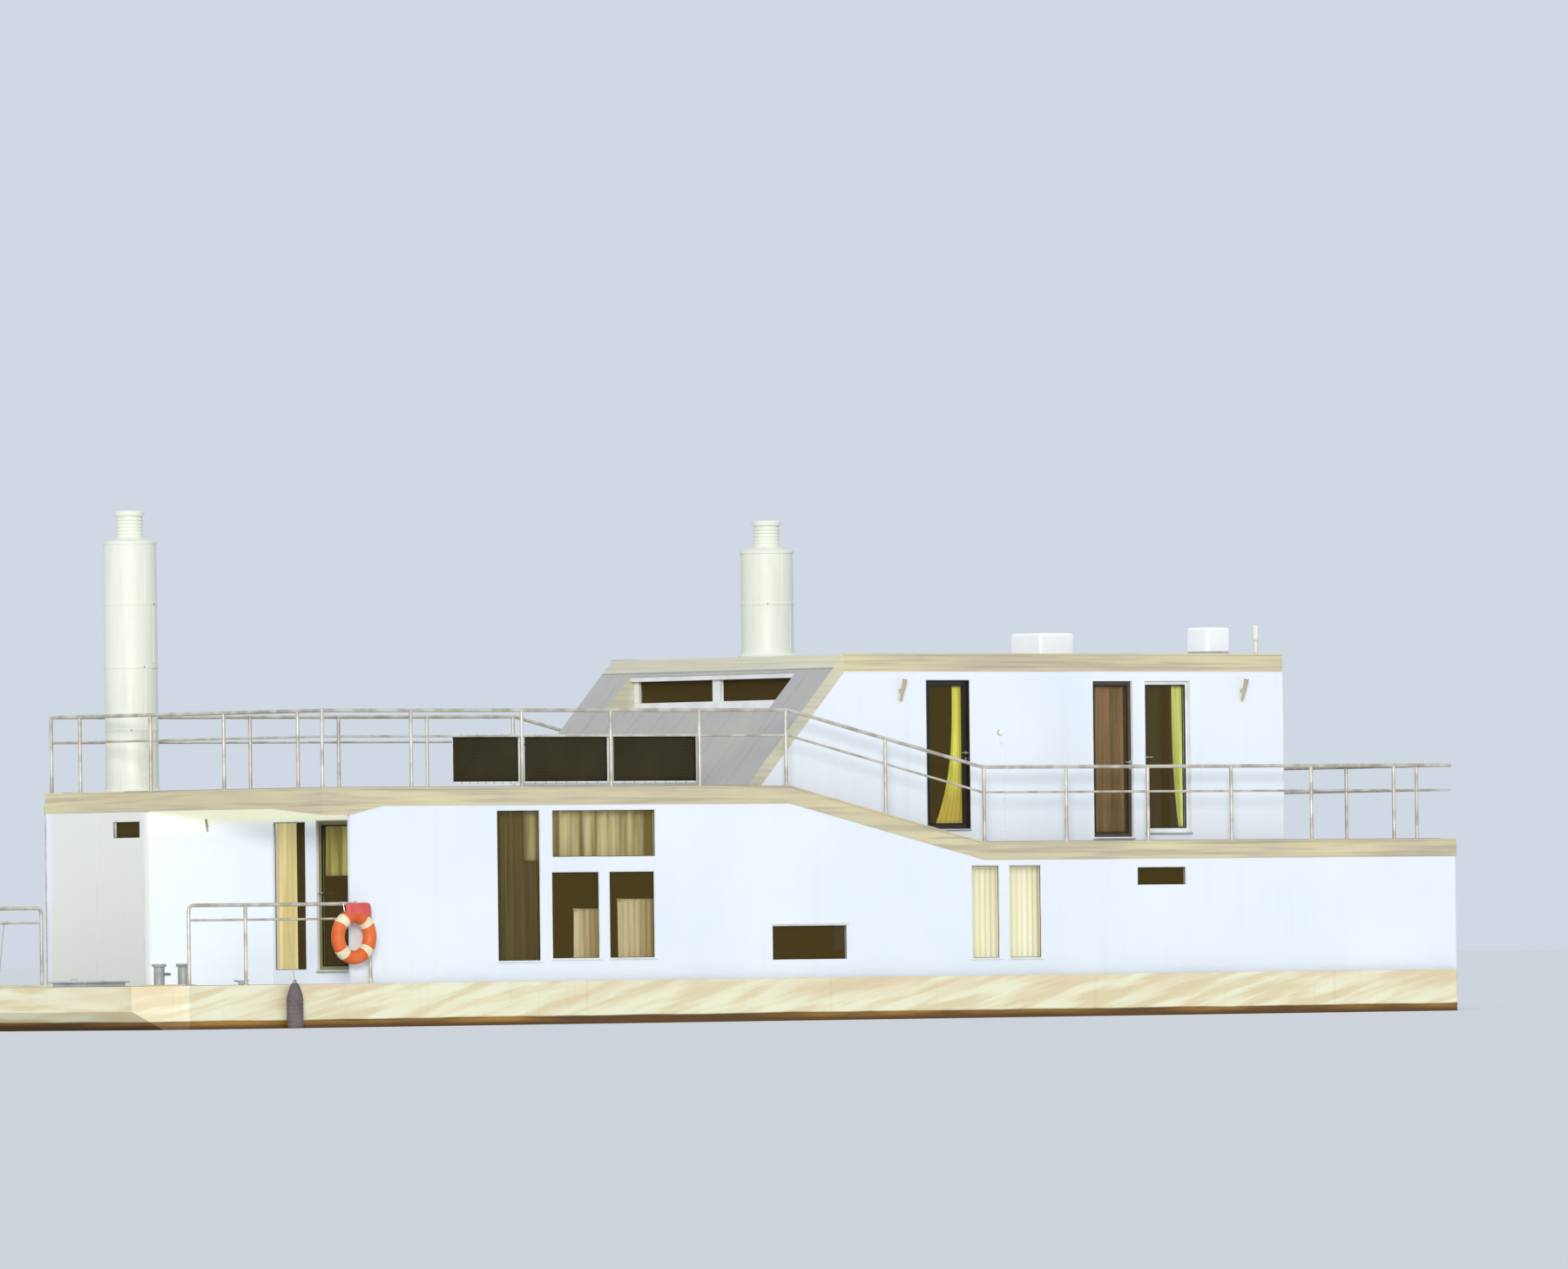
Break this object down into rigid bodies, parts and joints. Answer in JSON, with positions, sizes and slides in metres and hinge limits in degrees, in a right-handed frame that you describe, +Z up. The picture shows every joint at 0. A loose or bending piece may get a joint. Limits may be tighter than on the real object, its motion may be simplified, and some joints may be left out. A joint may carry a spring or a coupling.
{
  "type": "houseboat",
  "caption": "Flat-bottomed houseboat: decked pontoon hull, white cabin with a sloped-front upper cabin, railed roof terraces, glazed doors and tall flues.",
  "frame": {"origin": "centre of the overall box at the flat bottom of the hull", "axes": "+X towards the stern, +Y towards the far side of the picture, +Z up; waterline at z 0.65 m"},
  "size_m": [24, 6.5606, 7.755],
  "materials": {
    "hull_paint": "weathered cream paint over steel, dark boot-top",
    "wall_paint": "satin white paint",
    "fascia": "grey-beige edge sheet, felt on top",
    "zinc": "matt standing-seam sheet",
    "glass": "clear double glazing",
    "door_frame": "dark satin frame",
    "rail_tube": "galvanised tube",
    "flue": "pale satin sheet",
    "windbreak": "dark woven mesh",
    "life_ring": "orange-red canvas-covered foam with white bands",
    "fender": "dark scuffed rubber",
    "curtain_green": "yellow-green woven cloth",
    "curtain_brown": "dark brown cloth",
    "curtain_cream": "cream cloth"
  },
  "bodies": {
    "boat": {"hull": "hull_paint", "wall_near": "wall_paint", "wall_far": "wall_paint", "wall_bow": "wall_paint", "wall_stern": "wall_paint", "upper_wall_near": "wall_paint", "upper_wall_far": "wall_paint", "upper_wall_stern": "wall_paint", "roof_fore": "fascia", "roof_aft": "fascia", "ramp_near": "fascia", "ramp_far": "fascia", "upper_roof": "fascia", "upper_slope": "zinc", "glass_group": "glass", "glass_low": "glass", "glass_tall_pair": "glass", "glass_small": "glass", "glass_bow": "glass", "glass_entry": "glass", "glass_strip": "glass", "glass_far_fore": "glass", "glass_far_aft": "glass", "glass_far_pent": "glass", "glass_upper_stern": "glass", "rail_near_fore": "rail_tube", "rail_near_ramp": "rail_tube", "rail_near_aft": "rail_tube", "rail_near_foredeck": "rail_tube", "rail_far_fore": "rail_tube", "rail_far_ramp": "rail_tube", "rail_far_aft": "rail_tube", "rail_far_foredeck": "rail_tube", "rail_bow": "rail_tube", "rail_stern": "rail_tube", "downpipe": "rail_tube", "chimney_fore": "flue", "chimney_upper": "flue", "rooflight_fore": "flue", "rooflight_aft": "flue", "windbreak": "windbreak", "life_ring": "life_ring", "fender_near": "fender", "fender_far": "fender", "curtain_group": "curtain_green", "curtain_entry": "curtain_green", "curtain_tall_pair": "curtain_cream"},
    "door_mid": {"door_mid": "door_frame", "door_mid_glass": "glass", "curtain_door_mid": "curtain_green"},
    "door_aft_left": {"door_aft_left": "door_frame", "door_aft_left_glass": "glass", "curtain_door_aft_left": "curtain_brown"},
    "door_aft_right": {"door_aft_right": "door_frame", "door_aft_right_glass": "glass", "curtain_door_aft_right": "curtain_green"},
    "door_entry": {"door_entry": "door_frame", "door_entry_glass": "glass", "curtain_door_entry": "curtain_green"}
  },
  "joints": [
    {"name": "door_mid_hinge", "type": "hinge", "parent": "boat", "child": "door_mid", "pos_m": [2.388, -2.37, 4.25], "axis": [0, 0, 1], "range_deg": [0, 90]},
    {"name": "door_aft_left_hinge", "type": "hinge", "parent": "boat", "child": "door_aft_left", "pos_m": [5.493, -2.37, 4.25], "axis": [0, 0, 1], "range_deg": [0, 90]},
    {"name": "door_aft_right_hinge", "type": "hinge", "parent": "boat", "child": "door_aft_right", "pos_m": [7.367, -2.37, 4.25], "axis": [0, 0, -1], "range_deg": [0, 90]},
    {"name": "door_entry_hinge", "type": "hinge", "parent": "boat", "child": "door_entry", "pos_m": [-8.02, -2.617, 2.45], "axis": [0, 0, -1], "range_deg": [0, 90]}
  ]
}
